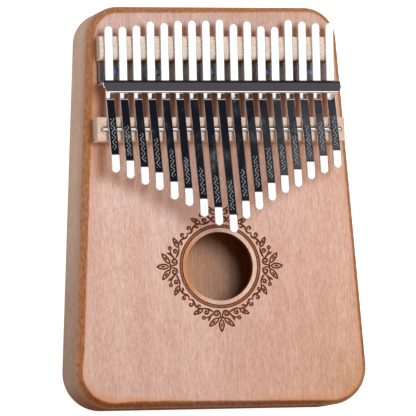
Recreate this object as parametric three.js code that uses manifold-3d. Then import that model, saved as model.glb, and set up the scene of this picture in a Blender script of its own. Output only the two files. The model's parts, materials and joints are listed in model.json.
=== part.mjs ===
// Seventeen-tine mbira: a hollow wooden box with a row of spring-steel tines on its face.
// Millimetres, +Z up. The box lies on its back: z = 0 is the back's lower face, the tines are on top,
// +Y runs to the narrow rear end, where the tines are tuned, and x = 0 is the box's centre line.
import * as THREE from 'three';
import { mergeVertices } from 'three/addons/utils/BufferGeometryUtils.js';
import Module from 'manifold-3d';

const wasm = await Module();
wasm.setup();

// Box
const BODY_LENGTH = 185;
const REAR_WIDTH = 118.4;
const FRONT_WIDTH = 141.2;
const BODY_HEIGHT = 28;
const REAR_CORNER_RADIUS = 15.2;
const FRONT_CORNER_RADIUS = 17.5;
const SOUNDBOARD_THICKNESS = 4;
const BACK_THICKNESS = 3;
const WALL_THICKNESS = 8;
const FACE_EDGE_RADIUS = 2.6;
const BACK_EDGE_RADIUS = 1.5;
const SOUND_HOLE_RADIUS = 15.8;
const SOUND_HOLE_Y = -27.9;

// Bridges and rod. Heights are above the soundboard's face.
const REAR_BRIDGE = { y: 72.4, width: 11.1, height: 7.4, shoulder: 4.9, left: -56.1, right: 55.5 };
const FRONT_BRIDGE = { y: 34.65, width: 11.2, height: 9.2, edge: 0.9, left: -58.8, right: 59.6 };
const GROOVE_WIDTH = 2.9;
const GROOVE_DEPTH = 1;
const GROOVE_END_MARGIN = 1.4;
const ROD_RADIUS = 1.2;
const ROD_END_MARGIN = 0.8;

// Tines
const TINE_COUNT = 17;
const TINE_PITCH = 6.615;
const TINE_SET_X = 0.72;
const TINE_WIDTH = 3.9;
const TINE_THICKNESS = 1;
const TINE_SLOPE = 0.24;
const TIP_SLOPE = 0.086;
const TIP_PART = 8.2;
const TIP_Y = [14.1, 11.3, 8.3, 5.7, 1.3, -1.8, -6.8, -10.8, -14.3,
  -7.9, -3.7, 0.5, 4.1, 6.9, 10.5, 13.3, 15.9];
const REAR_END_Y = [82.1, 81.9, 82.5, 84.4, 83.7, 84.8, 84.9, 85, 85.4,
  83.4, 84.7, 82.5, 82.2, 85.4, 84.8, 84, 84];
const CLEARANCE = 0.3;

// Pressure bracket: a bent strip, its section given by the middle line of the plate
const PLATE_THICKNESS = 1.6;
const BRACKET = { left: -55.8, right: 57.5, rear: 66.4, webFoot: 55.95, webTop: 56.4, webTopHeight: 10.1,
  lip: 51.55, lipHeight: 12.3, cornerRadius: 4 };
const WINDOW_WIDTH = 4.7;
const WINDOW_FLOOR = 2.8;
const WINDOW_TOP = 8.5;

// Screws, in the gaps after these tines
const SCREW_GAPS = [1, 4, 8, 12, 15];
const SCREW_Y = 61.65;
const SCREW_SHANK_RADIUS = 1.5;
const SCREW_HEAD_RADIUS = 2.8;
const SCREW_HEAD_HEIGHT = 2;
const SCREW_LENGTH = 13;
const SCREW_SLOT_WIDTH = 0.8;
const SCREW_SLOT_DEPTH = 0.9;

// Block under the soundboard that the screws bite into
const BLOCK = { left: -48, right: 48, y: 61.65, width: 14, height: 12 };

const HALF_LENGTH = BODY_LENGTH / 2;
const FACE = BODY_HEIGHT;
const SOUNDBOARD_BOTTOM = FACE - SOUNDBOARD_THICKNESS;
const CORNER_STEPS = 10;
const HOLE_STEPS = 48;
const SMALL_HOLE_STEPS = 16;
const PASS_THROUGH = 1;

// Colours
const WOOD = { color: 0xc99a80, roughness: 0.6, metalness: 0 };
const WALL_WOOD = { color: 0x9c7a66, roughness: 0.6, metalness: 0 };
const MAPLE = { color: 0xe6cba9, roughness: 0.55, metalness: 0 };
const CHROME = { color: 0xd8d9dc, roughness: 0.12, metalness: 1 };
const STEEL = { color: 0xc4c6ca, roughness: 0.25, metalness: 1 };

function toSolid(geometry) {
  const bare = geometry.clone();
  bare.deleteAttribute('normal');
  bare.deleteAttribute('uv');
  const merged = mergeVertices(bare, 1e-4);
  const vertProperties = new Float32Array(merged.attributes.position.array);
  const triVerts = new Uint32Array(merged.index.array);
  return new wasm.Manifold(new wasm.Mesh({ numProp: 3, vertProperties, triVerts }));
}

function toGeometry(solid) {
  const mesh = solid.getMesh();
  const geometry = new THREE.BufferGeometry();
  geometry.setAttribute('position', new THREE.BufferAttribute(mesh.vertProperties, 3));
  geometry.setIndex(new THREE.BufferAttribute(mesh.triVerts, 1));
  return geometry;
}

function box(x0, x1, y0, y1, z0, z1) {
  const geometry = new THREE.BoxGeometry(x1 - x0, y1 - y0, z1 - z0);
  return geometry.translate((x0 + x1) / 2, (y0 + y1) / 2, (z0 + z1) / 2);
}

function uprightCylinder(radius, x, y, z0, z1, steps) {
  const geometry = new THREE.CylinderGeometry(radius, radius, z1 - z0, steps);
  return geometry.rotateX(Math.PI / 2).translate(x, y, (z0 + z1) / 2);
}

function addPiece(group, name, geometry, look) {
  const mesh = new THREE.Mesh(geometry, new THREE.MeshStandardMaterial(look));
  mesh.name = name;
  group.add(mesh);
}

function tineX(number) {
  return TINE_SET_X + (number - (TINE_COUNT + 1) / 2) * TINE_PITCH;
}

function screwX(gap) {
  return (tineX(gap) + tineX(gap + 1)) / 2;
}

// The box's plan: a rounded trapezoid, set in from the outer wall by `inset`.
function bodyPlan(inset, ShapeClass = THREE.Shape) {
  const lean = Math.atan2((FRONT_WIDTH - REAR_WIDTH) / 2, BODY_LENGTH);
  const halfWidthAt = (y) => {
    const share = (HALF_LENGTH - y) / BODY_LENGTH;
    return REAR_WIDTH / 2 + share * (FRONT_WIDTH - REAR_WIDTH) / 2 - inset / Math.cos(lean);
  };
  const front = -HALF_LENGTH + inset;
  const rear = HALF_LENGTH - inset;
  const frontRadius = FRONT_CORNER_RADIUS - inset;
  const rearRadius = REAR_CORNER_RADIUS - inset;
  const frontY = front + frontRadius;
  const rearY = rear - rearRadius;
  const frontX = halfWidthAt(frontY) - frontRadius / Math.cos(lean);
  const rearX = halfWidthAt(rearY) - rearRadius / Math.cos(lean);
  const quarter = Math.PI / 2;
  const shape = new ShapeClass();
  shape.absarc(frontX, frontY, frontRadius, -quarter, lean, false);
  shape.absarc(rearX, rearY, rearRadius, lean, quarter, false);
  shape.absarc(-rearX, rearY, rearRadius, quarter, 2 * quarter - lean, false);
  shape.absarc(-frontX, frontY, frontRadius, 2 * quarter - lean, 3 * quarter, false);
  shape.closePath();
  return shape;
}

// A board with the body's plan whose upper or lower edge is rounded.
function board(z0, z1, edgeRadius, roundTop) {
  const depth = 2 * (z1 - z0) - 2 * edgeRadius;
  const slab = new THREE.ExtrudeGeometry(bodyPlan(edgeRadius), {
    depth, curveSegments: CORNER_STEPS, bevelEnabled: true, bevelSegments: 4,
    bevelSize: edgeRadius, bevelThickness: edgeRadius,
  });
  const middle = roundTop ? z0 : z1;
  slab.translate(0, 0, middle - depth / 2);
  const keep = box(-FRONT_WIDTH, FRONT_WIDTH, -BODY_LENGTH, BODY_LENGTH, z0, z1);
  return toSolid(slab).intersect(toSolid(keep));
}

function screwHole(gap, z0, z1) {
  const radius = SCREW_SHANK_RADIUS + CLEARANCE;
  return toSolid(uprightCylinder(radius, screwX(gap), SCREW_Y, z0, z1, SMALL_HOLE_STEPS));
}

function drillScrewHoles(solid, z0, z1) {
  return SCREW_GAPS.reduce((cut, gap) => cut.subtract(screwHole(gap, z0, z1)), solid);
}

function soundboard() {
  const low = SOUNDBOARD_BOTTOM - PASS_THROUGH;
  const high = FACE + PASS_THROUGH;
  const hole = toSolid(uprightCylinder(SOUND_HOLE_RADIUS, 0, SOUND_HOLE_Y, low, high, HOLE_STEPS));
  const solid = board(SOUNDBOARD_BOTTOM, FACE, FACE_EDGE_RADIUS, true).subtract(hole);
  return toGeometry(drillScrewHoles(solid, low, high));
}

function bodyRim() {
  const plan = bodyPlan(0);
  plan.holes.push(bodyPlan(WALL_THICKNESS, THREE.Path));
  const depth = SOUNDBOARD_BOTTOM - BACK_THICKNESS;
  const settings = { depth, curveSegments: CORNER_STEPS, bevelEnabled: false };
  const geometry = new THREE.ExtrudeGeometry(plan, settings);
  return geometry.translate(0, 0, BACK_THICKNESS);
}

function backBoard() {
  return toGeometry(board(0, BACK_THICKNESS, BACK_EDGE_RADIUS, false));
}

function bridgeBlock() {
  const { left, right, y, width, height } = BLOCK;
  const low = SOUNDBOARD_BOTTOM - height;
  const block = box(left, right, y - width / 2, y + width / 2, low, SOUNDBOARD_BOTTOM);
  return toGeometry(drillScrewHoles(toSolid(block), low - PASS_THROUGH, SOUNDBOARD_BOTTOM + PASS_THROUGH));
}

// Extrudes a section drawn as (y, height above the face) along X.
function alongX(section, left, right, curveSegments = 6) {
  const geometry = new THREE.ExtrudeGeometry(section, {
    depth: right - left, curveSegments, bevelEnabled: false,
  });
  const frame = new THREE.Matrix4().set(
    0, 0, 1, left,
    1, 0, 0, 0,
    0, 1, 0, FACE,
    0, 0, 0, 1,
  );
  return geometry.applyMatrix4(frame);
}

function rearBridge() {
  const { y, width, height, shoulder, left, right } = REAR_BRIDGE;
  const half = width / 2;
  const crown = height - shoulder;
  const section = new THREE.Shape();
  section.moveTo(y - half, 0);
  section.lineTo(y + half, 0);
  section.lineTo(y + half, shoulder);
  section.bezierCurveTo(y + half, shoulder + crown, y + half / 2, height, y, height);
  section.bezierCurveTo(y - half / 2, height, y - half, shoulder + crown, y - half, shoulder);
  section.closePath();
  return alongX(section, left, right);
}

function frontBridge() {
  const { y, width, height, edge, left, right } = FRONT_BRIDGE;
  const half = width / 2;
  const section = new THREE.Shape();
  section.moveTo(y - half, 0);
  section.lineTo(y + half, 0);
  section.absarc(y + half - edge, height - edge, edge, 0, Math.PI / 2, false);
  section.absarc(y - half + edge, height - edge, edge, Math.PI / 2, Math.PI, false);
  section.closePath();
  const groove = new THREE.Shape();
  const radius = GROOVE_WIDTH / 2;
  const quarter = Math.PI / 2;
  groove.absarc(right - GROOVE_END_MARGIN - radius, y, radius, -quarter, quarter, false);
  groove.absarc(left + GROOVE_END_MARGIN + radius, y, radius, quarter, 3 * quarter, false);
  groove.closePath();
  const cutter = new THREE.ExtrudeGeometry(groove, {
    depth: GROOVE_DEPTH + PASS_THROUGH, curveSegments: 6, bevelEnabled: false,
  });
  cutter.translate(0, 0, FACE + height - GROOVE_DEPTH);
  return toGeometry(toSolid(alongX(section, left, right, 3)).subtract(toSolid(cutter)));
}

function rodCentreHeight() {
  return FRONT_BRIDGE.height - GROOVE_DEPTH + ROD_RADIUS;
}

function saddleRod() {
  const left = FRONT_BRIDGE.left + GROOVE_END_MARGIN + ROD_END_MARGIN;
  const right = FRONT_BRIDGE.right - GROOVE_END_MARGIN - ROD_END_MARGIN;
  const chamfer = 0.3;
  const half = (right - left) / 2;
  const profile = [
    new THREE.Vector2(0, -half),
    new THREE.Vector2(ROD_RADIUS - chamfer, -half),
    new THREE.Vector2(ROD_RADIUS, -half + chamfer),
    new THREE.Vector2(ROD_RADIUS, half - chamfer),
    new THREE.Vector2(ROD_RADIUS - chamfer, half),
    new THREE.Vector2(0, half),
  ];
  const geometry = new THREE.LatheGeometry(profile, 16);
  geometry.rotateZ(-Math.PI / 2);
  return geometry.translate((left + right) / 2, FRONT_BRIDGE.y, FACE + rodCentreHeight());
}

// The bracket's section: the plate's middle line, thickened on both sides, with a round lip.
function bracketSection() {
  const { rear, webFoot, webTop, webTopHeight, lip, lipHeight } = BRACKET;
  const half = PLATE_THICKNESS / 2;
  const line = [
    new THREE.Vector2(rear, half),
    new THREE.Vector2(webFoot, half),
    new THREE.Vector2(webTop, webTopHeight),
    new THREE.Vector2(lip, lipHeight),
  ];
  const directions = line.slice(1).map((point, i) => point.clone().sub(line[i]).normalize());
  const sideNormal = (i) => new THREE.Vector2(-directions[i].y, directions[i].x);
  const offset = (i, side) => {
    const before = sideNormal(Math.max(i - 1, 0));
    const after = sideNormal(Math.min(i, directions.length - 1));
    const mitre = before.clone().add(after).normalize();
    return line[i].clone().addScaledVector(mitre, side * half / mitre.dot(before));
  };
  const right = line.map((point, i) => offset(i, -1));
  const left = line.map((point, i) => offset(i, 1));
  const lipAngle = sideNormal(directions.length - 1).multiplyScalar(-1).angle();
  const section = new THREE.Shape();
  section.moveTo(right[0].x, right[0].y);
  right.slice(1).forEach((point) => section.lineTo(point.x, point.y));
  section.absarc(lip, lipHeight, half, lipAngle, lipAngle + Math.PI, false);
  left.slice(0, -1).reverse().forEach((point) => section.lineTo(point.x, point.y));
  section.closePath();
  return section;
}

// A prism that leaves one front corner of the flange rounded when it is cut away.
function lipCornerCutter(side) {
  const { left, right, lip, cornerRadius } = BRACKET;
  const outer = side < 0 ? left : right;
  const front = lip - PLATE_THICKNESS / 2;
  const shape = new THREE.Shape();
  shape.moveTo(outer - side * cornerRadius, front - PASS_THROUGH);
  shape.lineTo(outer + side * PASS_THROUGH, front - PASS_THROUGH);
  shape.lineTo(outer + side * PASS_THROUGH, front + cornerRadius);
  shape.lineTo(outer, front + cornerRadius);
  const centreX = outer - side * cornerRadius;
  const steps = 6;
  for (let i = 1; i <= steps; i += 1) {
    const angle = (i / steps) * Math.PI / 2;
    shape.lineTo(centreX + side * cornerRadius * Math.cos(angle),
      front + cornerRadius - cornerRadius * Math.sin(angle));
  }
  shape.closePath();
  const depth = 6;
  const prism = new THREE.ExtrudeGeometry(shape, { depth, bevelEnabled: false });
  return toSolid(prism.translate(0, 0, FACE + WINDOW_TOP + 1));
}

function pressureBracket() {
  const { left, right, webFoot, webTop } = BRACKET;
  let solid = toSolid(alongX(bracketSection(), left, right, 5));
  for (let number = 1; number <= TINE_COUNT; number += 1) {
    const x = tineX(number);
    const reach = 2 * PLATE_THICKNESS;
    const opening = box(x - WINDOW_WIDTH / 2, x + WINDOW_WIDTH / 2, webFoot - reach, webTop + reach,
      FACE + WINDOW_FLOOR, FACE + WINDOW_TOP);
    solid = solid.subtract(toSolid(opening));
  }
  solid = drillScrewHoles(solid, FACE - PASS_THROUGH, FACE + PLATE_THICKNESS + PASS_THROUGH);
  return toGeometry(solid.subtract(lipCornerCutter(-1)).subtract(lipCornerCutter(1)));
}

// Pan-head screw with a straight slot and a short point.
function screw(gap) {
  const underHead = FACE + PLATE_THICKNESS;
  const profile = [
    new THREE.Vector2(0, -SCREW_LENGTH),
    new THREE.Vector2(SCREW_SHANK_RADIUS, -SCREW_LENGTH + 2.5),
    new THREE.Vector2(SCREW_SHANK_RADIUS, 0),
    new THREE.Vector2(SCREW_HEAD_RADIUS, 0),
    new THREE.Vector2(SCREW_HEAD_RADIUS, 0.45 * SCREW_HEAD_HEIGHT),
    new THREE.Vector2(0.8 * SCREW_HEAD_RADIUS, 0.85 * SCREW_HEAD_HEIGHT),
    new THREE.Vector2(0.45 * SCREW_HEAD_RADIUS, SCREW_HEAD_HEIGHT),
    new THREE.Vector2(0, SCREW_HEAD_HEIGHT),
  ];
  const body = new THREE.LatheGeometry(profile, SMALL_HOLE_STEPS).rotateX(Math.PI / 2);
  body.translate(screwX(gap), SCREW_Y, underHead);
  const top = underHead + SCREW_HEAD_HEIGHT;
  const slot = box(screwX(gap) - SCREW_SLOT_WIDTH / 2, screwX(gap) + SCREW_SLOT_WIDTH / 2,
    SCREW_Y - SCREW_HEAD_RADIUS - 1, SCREW_Y + SCREW_HEAD_RADIUS + 1, top - SCREW_SLOT_DEPTH, top + 1);
  return toGeometry(toSolid(body).subtract(toSolid(slot)));
}

// Where the tine's middle line crosses the rod: the hinge of its vibrating part.
function flexPoint() {
  const reach = ROD_RADIUS + CLEARANCE + TINE_THICKNESS / 2;
  const normal = new THREE.Vector2(TINE_SLOPE, 1).normalize();
  return new THREE.Vector2(FRONT_BRIDGE.y, rodCentreHeight()).addScaledVector(normal, reach);
}

// Rounds the corners of an open line of (y, height) points with short curves.
function filletLine(corners, reach) {
  const path = new THREE.Path();
  path.moveTo(corners[0].x, corners[0].y);
  for (let i = 1; i < corners.length - 1; i += 1) {
    const back = corners[i - 1].clone().sub(corners[i]).normalize();
    const ahead = corners[i + 1].clone().sub(corners[i]).normalize();
    const start = corners[i].clone().addScaledVector(back, reach);
    const end = corners[i].clone().addScaledVector(ahead, reach);
    path.lineTo(start.x, start.y);
    path.quadraticCurveTo(corners[i].x, corners[i].y, end.x, end.y);
  }
  const last = corners[corners.length - 1];
  path.lineTo(last.x, last.y);
  return path.getPoints(4);
}

// A flat strip along a line of (y, height) points. Round ends are half circles in plan.
function strip(line, x, roundStart, roundEnd) {
  const radius = TINE_WIDTH / 2;
  const stations = [];
  const capSteps = 6;
  const addCap = (tip, inner) => {
    const inward = inner.clone().sub(tip).normalize();
    const cap = [];
    for (let i = 0; i <= capSteps; i += 1) {
      const angle = (0.06 + 0.94 * i / capSteps) * Math.PI / 2;
      const point = tip.clone().addScaledVector(inward, radius * (1 - Math.cos(angle)));
      cap.push({ point, half: radius * Math.sin(angle) });
    }
    return cap;
  };
  const last = line.length - 1;
  stations.push(...(roundStart ? addCap(line[0], line[1]) : [{ point: line[0], half: radius }]));
  line.slice(1, last).forEach((point) => stations.push({ point, half: radius }));
  stations.push(...(roundEnd ? addCap(line[last], line[last - 1]).reverse()
    : [{ point: line[last], half: radius }]));
  const positions = [];
  stations.forEach(({ point, half }, i) => {
    const before = stations[Math.max(i - 1, 0)].point;
    const after = stations[Math.min(i + 1, stations.length - 1)].point;
    const along = after.clone().sub(before).normalize();
    const up = new THREE.Vector2(along.y, -along.x).multiplyScalar(TINE_THICKNESS / 2);
    [[-1, -1], [1, -1], [1, 1], [-1, 1]].forEach(([side, level]) => {
      positions.push(x + side * half, point.x + level * up.x, FACE + point.y + level * up.y);
    });
  });
  const faces = [0, 2, 1, 0, 3, 2];
  for (let i = 0; i < stations.length - 1; i += 1) {
    for (let k = 0; k < 4; k += 1) {
      const a = 4 * i + k;
      const b = 4 * i + (k + 1) % 4;
      faces.push(a, b, a + 4, b, b + 4, a + 4);
    }
  }
  const end = positions.length / 3 - 4;
  faces.push(end, end + 1, end + 2, end, end + 2, end + 3);
  const geometry = new THREE.BufferGeometry();
  geometry.setAttribute('position', new THREE.Float32BufferAttribute(positions, 3));
  geometry.setIndex(faces);
  return geometry;
}

function tineHeightAtBridge() {
  return REAR_BRIDGE.height + CLEARANCE + TINE_THICKNESS / 2;
}

// The clamped part: over the rear bridge, through the bracket's web and up to the rod.
function tineAnchor(number) {
  const flex = flexPoint();
  const windowHeight = WINDOW_TOP - CLEARANCE - TINE_THICKNESS / 2;
  const rearSlope = (tineHeightAtBridge() - windowHeight) / (REAR_BRIDGE.y - BRACKET.webTop);
  const rearEnd = REAR_END_Y[number - 1];
  const bendY = (windowHeight - rearSlope * BRACKET.webTop - flex.y - TINE_SLOPE * flex.x)
    / (-TINE_SLOPE - rearSlope);
  const bendHeight = flex.y + TINE_SLOPE * (flex.x - bendY);
  const gap = CLEARANCE / 2;
  const forward = new THREE.Vector2(-1, TINE_SLOPE).normalize();
  const corners = [
    new THREE.Vector2(rearEnd, tineHeightAtBridge() + rearSlope * (rearEnd - REAR_BRIDGE.y)),
    new THREE.Vector2(bendY, bendHeight),
    flex.clone().addScaledVector(forward, -gap),
  ];
  return strip(filletLine(corners, 2), tineX(number), true, false);
}

// The vibrating part: from the rod to the tip, whose last stretch is turned down for the thumb.
function tineBlade(number) {
  const flex = flexPoint();
  const tipEnd = TIP_Y[number - 1];
  const bendY = tipEnd + TIP_PART;
  const forward = new THREE.Vector2(-1, TINE_SLOPE).normalize();
  const bendHeight = flex.y + TINE_SLOPE * (flex.x - bendY);
  const corners = [
    flex.clone().addScaledVector(forward, CLEARANCE / 2),
    new THREE.Vector2(bendY, bendHeight),
    new THREE.Vector2(tipEnd, bendHeight + TIP_SLOPE * TIP_PART),
  ];
  return strip(filletLine(corners, 1), tineX(number), false, true);
}

const mbira = new THREE.Group();
addPiece(mbira, 'soundboard', soundboard(), WOOD);
addPiece(mbira, 'body_rim', bodyRim(), WALL_WOOD);
addPiece(mbira, 'back_board', backBoard(), WALL_WOOD);
addPiece(mbira, 'bridge_block', bridgeBlock(), MAPLE);
addPiece(mbira, 'rear_bridge', rearBridge(), MAPLE);
addPiece(mbira, 'front_bridge', frontBridge(), MAPLE);
addPiece(mbira, 'saddle_rod', saddleRod(), STEEL);
addPiece(mbira, 'pressure_bracket', pressureBracket(), CHROME);
SCREW_GAPS.forEach((gap, i) => addPiece(mbira, `screw_${i + 1}`, screw(gap), STEEL));
for (let number = 1; number <= TINE_COUNT; number += 1) {
  const label = String(number).padStart(2, '0');
  addPiece(mbira, `tine_${label}_anchor`, tineAnchor(number), CHROME);
  addPiece(mbira, `tine_${label}_blade`, tineBlade(number), CHROME);
}

export default mbira;
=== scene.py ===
import json
import math

import bmesh
import bpy
from mathutils import Matrix, Vector


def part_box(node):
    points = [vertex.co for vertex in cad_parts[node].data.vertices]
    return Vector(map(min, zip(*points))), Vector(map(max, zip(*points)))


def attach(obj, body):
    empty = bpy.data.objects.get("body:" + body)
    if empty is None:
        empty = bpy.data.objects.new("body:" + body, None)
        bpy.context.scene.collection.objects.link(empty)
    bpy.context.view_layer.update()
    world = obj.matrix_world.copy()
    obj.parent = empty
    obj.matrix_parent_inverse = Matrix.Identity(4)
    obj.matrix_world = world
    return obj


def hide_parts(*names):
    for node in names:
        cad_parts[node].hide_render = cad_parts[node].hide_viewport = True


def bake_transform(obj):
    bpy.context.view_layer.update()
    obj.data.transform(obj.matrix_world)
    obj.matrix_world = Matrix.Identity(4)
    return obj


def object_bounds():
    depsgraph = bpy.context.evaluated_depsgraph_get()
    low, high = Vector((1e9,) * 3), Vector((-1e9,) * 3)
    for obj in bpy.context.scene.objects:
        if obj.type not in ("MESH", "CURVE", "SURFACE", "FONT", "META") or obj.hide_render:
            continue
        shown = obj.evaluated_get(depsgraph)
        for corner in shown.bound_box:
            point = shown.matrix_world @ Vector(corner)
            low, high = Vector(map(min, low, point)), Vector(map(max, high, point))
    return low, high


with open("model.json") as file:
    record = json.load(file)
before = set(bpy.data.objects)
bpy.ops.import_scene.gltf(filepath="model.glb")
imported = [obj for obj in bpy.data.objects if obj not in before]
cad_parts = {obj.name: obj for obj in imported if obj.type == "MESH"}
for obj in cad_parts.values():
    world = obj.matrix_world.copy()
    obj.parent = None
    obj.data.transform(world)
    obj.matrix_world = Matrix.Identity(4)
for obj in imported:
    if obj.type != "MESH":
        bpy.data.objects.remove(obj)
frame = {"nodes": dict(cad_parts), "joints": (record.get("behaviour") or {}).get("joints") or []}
CAD_LOW, CAD_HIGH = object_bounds()
MM = 0.001


# ---------------------------------------------------------------- camera
CAMERA_AZIMUTH = math.radians(16.1095)  # towards -X
CAMERA_ELEVATION = math.radians(4.7936)  # towards -Y, away from straight above
CAMERA_ROLL = math.radians(1.7634)
CAMERA_DISTANCE = 2.148
CAMERA_TARGET = Vector((3.185, 1.465, 0)) * MM
CAMERA_LENS = 398.17
SENSOR_WIDTH = 36


def make_camera():
    data = bpy.data.cameras.new("camera")
    data.lens = CAMERA_LENS
    data.sensor_width = SENSOR_WIDTH
    data.clip_start = 0.05
    data.clip_end = 20
    camera = bpy.data.objects.new("camera", data)
    bpy.context.collection.objects.link(camera)
    back = Vector((
        -math.sin(CAMERA_AZIMUTH) * math.cos(CAMERA_ELEVATION),
        -math.sin(CAMERA_ELEVATION),
        math.cos(CAMERA_AZIMUTH) * math.cos(CAMERA_ELEVATION),
    ))
    level_right = Vector((0, 1, 0)).cross(back).normalized()
    level_up = back.cross(level_right)
    right = level_right * math.cos(CAMERA_ROLL) - level_up * math.sin(CAMERA_ROLL)
    up = level_right * math.sin(CAMERA_ROLL) + level_up * math.cos(CAMERA_ROLL)
    matrix = Matrix((right, up, back)).transposed().to_4x4()
    matrix.translation = CAMERA_TARGET + back * CAMERA_DISTANCE
    camera.matrix_world = matrix
    bpy.context.scene.camera = camera


make_camera()


# ---------------------------------------------------------------- sizes, in metres
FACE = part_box("soundboard")[1].z
BOARD_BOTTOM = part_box("soundboard")[0].z
BACK_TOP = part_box("back_board")[1].z
HALF_LENGTH = CAD_HIGH.y
REAR_WIDTH = 118.4 * MM
FRONT_WIDTH = 141.196 * MM
REAR_CORNER_RADIUS = 15.2 * MM
FRONT_CORNER_RADIUS = 17.5 * MM
FACE_EDGE_RADIUS = 2.6 * MM
BACK_EDGE_RADIUS = 1.5 * MM
WALL_THICKNESS = 8 * MM

HOLE_CENTRE = Vector((0, -27.9 * MM, 0))
HOLE_RADIUS = 15.8 * MM
HOLE_EDGE_RADIUS = 0.45 * MM

TINE_COUNT = 17
TINE_WIDTH = 3.9 * MM
TINE_THICKNESS = 1 * MM

# Metal: the colour and roughness of chrome, and the y behind which the bracket is rougher and darkened with
# painted shade.
CHROME_HUE = (0.95, 0.955, 0.965, 1)
POLISHED = 0.02
WORN = 0.06
SHADED_ROUGH_REAR = 55.7 * MM
RELIEF_DEPTH = 0.1 * MM


# ---------------------------------------------------------------- node materials
class Field:
    """A value that varies over a surface. It wraps a node's output, and its arithmetic adds Math nodes."""

    def __init__(self, socket):
        self.socket = socket

    def math(self, operation, *values, clamp=False):
        return add(self.socket.id_data, "ShaderNodeMath", dict(enumerate((self, *values))),
                   operation=operation, use_clamp=clamp)

    def __add__(self, other):
        return self.math("ADD", other)

    def __sub__(self, other):
        return self.math("SUBTRACT", other)

    def __mul__(self, other):
        return self.math("MULTIPLY", other)

    def __truediv__(self, other):
        return self.math("DIVIDE", other)

    def __abs__(self):
        return self.math("ABSOLUTE")

    def ramp(self, low, high):
        """0 at low and 1 at high, held beyond them. low may be the larger one."""
        return add(self.socket.id_data, "ShaderNodeMapRange", {0: self, 1: low, 2: high})


def feed(socket, value):
    """Links a Field to a socket, or sets the socket to a plain value."""
    if isinstance(value, Field):
        socket.id_data.links.new(value.socket, socket)
    else:
        socket.default_value = value


def add(tree, kind, inputs=None, output=0, **settings):
    """Adds a node and returns one output as a Field. inputs maps a socket's name or number to its value."""
    node = tree.nodes.new(kind)
    for key, value in settings.items():
        setattr(node, key, value)
    for key, value in (inputs or {}).items():
        feed(node.inputs[key], value)
    return Field(node.outputs[output])


def split(vector):
    node = vector.socket.id_data.nodes.new("ShaderNodeSeparateXYZ")
    feed(node.inputs[0], vector)
    return [Field(output) for output in node.outputs]


def surface(tree):
    """The point on the piece in the CAD frame, followed by its x, y and z."""
    point = add(tree, "ShaderNodeTexCoord", output="Object")
    return point, *split(point)


def new_material(name):
    material = bpy.data.materials.new(name)
    material.use_nodes = True
    tree = material.node_tree
    return material, tree, tree.nodes["Principled BSDF"]


def mix(factor, first, second, blend="MIX"):
    tree = next(value.socket.id_data for value in (factor, first, second) if isinstance(value, Field))
    return add(tree, "ShaderNodeMix", {0: factor, 6: first, 7: second}, 2, data_type="RGBA", blend_type=blend)


def tint(base, factor, multiplier):
    """Multiplies a colour by another one as far as factor says."""
    return mix(factor, base, multiplier, "MULTIPLY")


def noise(point, scale, stretch=(1, 1, 1), detail=3.0, roughness=0.55):
    """Noise with `scale` features per metre along each axis, times `stretch`."""
    tree = point.socket.id_data
    mapped = add(tree, "ShaderNodeMapping", {0: point, "Scale": [scale * s for s in stretch]})
    return add(tree, "ShaderNodeTexNoise",
               {0: mapped, "Scale": 1.0, "Detail": detail, "Roughness": roughness}, "Fac")


def colour(red, green, blue):
    """An sRGB colour from 0 to 255, as linear RGBA."""
    def linear(value):
        value /= 255
        return value / 12.92 if value <= 0.04045 else ((value + 0.055) / 1.055) ** 2.4
    return (linear(red), linear(green), linear(blue), 1)


def grain(tree, shader, light, dark, pore, along="Y", bump=0.12):
    """Open-grained wood: broad bands, fine fibres and short dark pores. Returns the colour."""
    point = add(tree, "ShaderNodeTexCoord", output="Object")
    axes = {"Y": (1, 0.05, 1), "X": (0.05, 1, 1)}[along]
    bands = noise(point, 90, axes, detail=4)
    cloud = noise(point, 28, (1, 0.6, 1), detail=3)
    fibre = noise(point, 1500, axes, detail=4, roughness=0.7)
    pores = noise(point, 3200, [1 if a == 1 else 0.16 for a in axes], detail=1, roughness=0.4)
    speck = noise(point, 1700, [1 if a == 1 else 0.22 for a in axes], detail=3, roughness=0.75)
    base = mix((bands * 0.6 + cloud * 0.4).ramp(0.34, 0.66) * 0.6, light, dark)
    base = mix(fibre.ramp(0.40, 0.72) * 0.75, base, dark)
    pore_mask = pores.ramp(0.60, 0.72)
    base = mix(pore_mask * 0.22, base, pore)
    base = tint(base, 1.0, mix(speck.ramp(0.3, 0.7), (0.81, 0.78, 0.75, 1), (1.13, 1.16, 1.19, 1)))
    feed(shader.inputs["Roughness"], fibre * 0.2 + 0.42)
    height = fibre * 0.5 - pore_mask
    relief = add(tree, "ShaderNodeBump", {"Strength": bump, "Distance": RELIEF_DEPTH, "Height": height})
    feed(shader.inputs["Normal"], relief)
    shader.inputs["Specular IOR Level"].default_value = 0.35
    return base


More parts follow.
